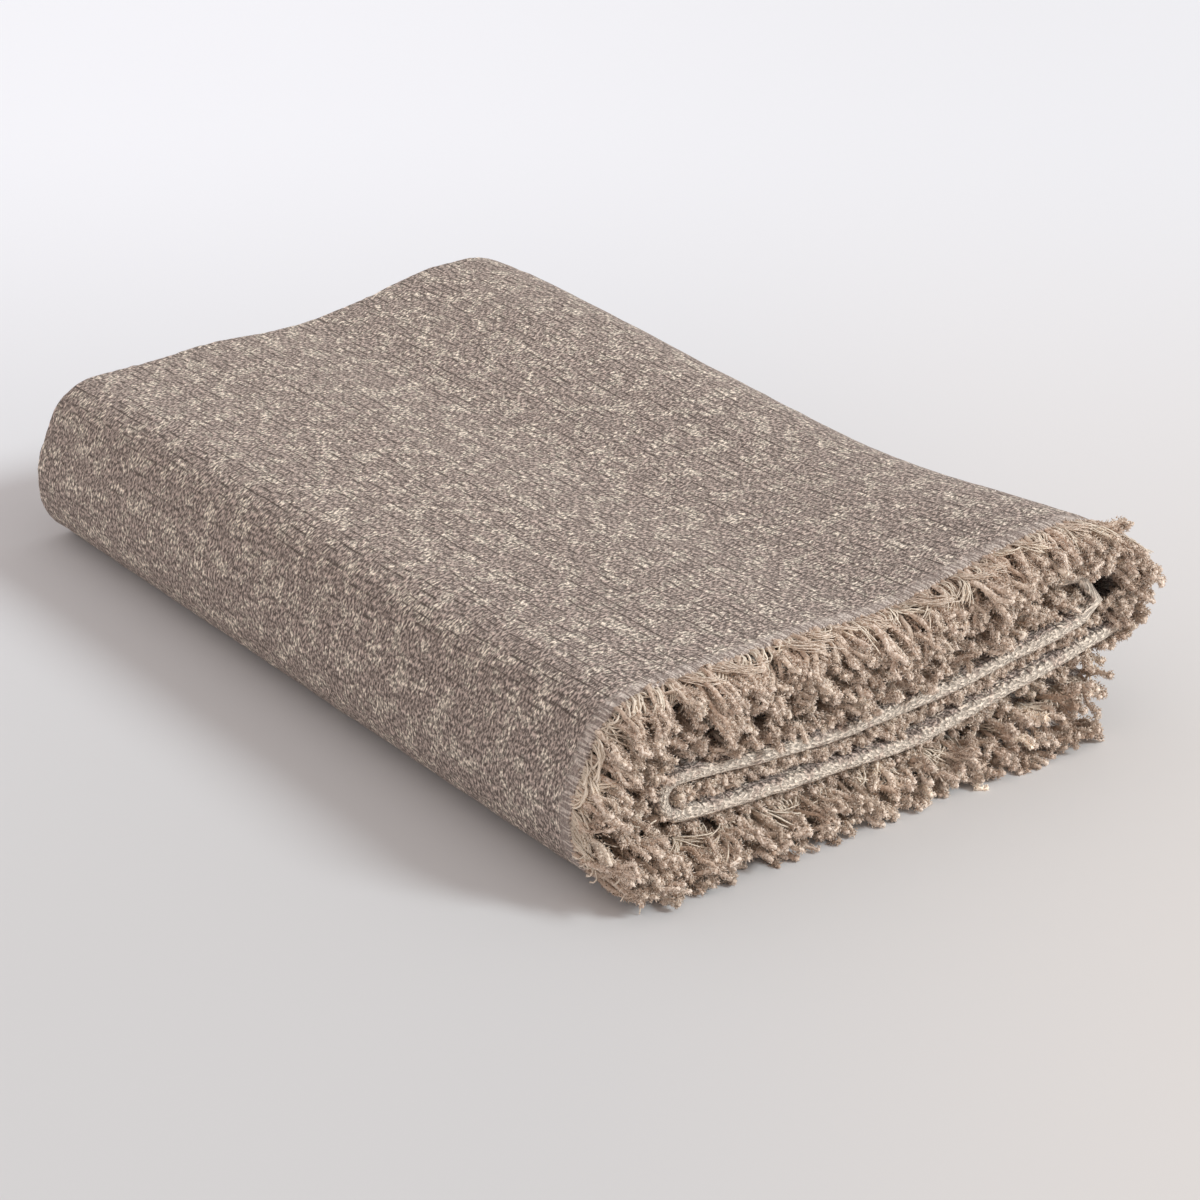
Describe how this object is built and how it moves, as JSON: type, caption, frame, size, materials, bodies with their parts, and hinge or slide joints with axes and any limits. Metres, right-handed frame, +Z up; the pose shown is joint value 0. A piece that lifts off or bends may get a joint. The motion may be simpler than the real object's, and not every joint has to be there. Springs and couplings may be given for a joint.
{
  "type": "folded sofa throw",
  "caption": "Soft chenille throw, folded and rolled into a flat stack, with a short thick fringe at the open end.",
  "frame": {"origin": "centre of the folded throw's footprint, on the surface that it lies on", "axes": "+X along the panels, from the smooth folded end to the fringed end; +Z up; +Y towards the side where the bottom level's selvedge shows"},
  "size_m": [0.6972, 0.423, 0.1427],
  "materials": {
    "throw_cloth": "taupe chenille with beige flecks and fine ribs",
    "throw_fringe": "loose fluffy chenille yarn ends with fine beige threads"
  },
  "bodies": {
    "root": {"throw_cloth": "throw_cloth", "fringe_outer": "throw_fringe", "fringe_inner": "throw_fringe"}
  },
  "joints": []
}
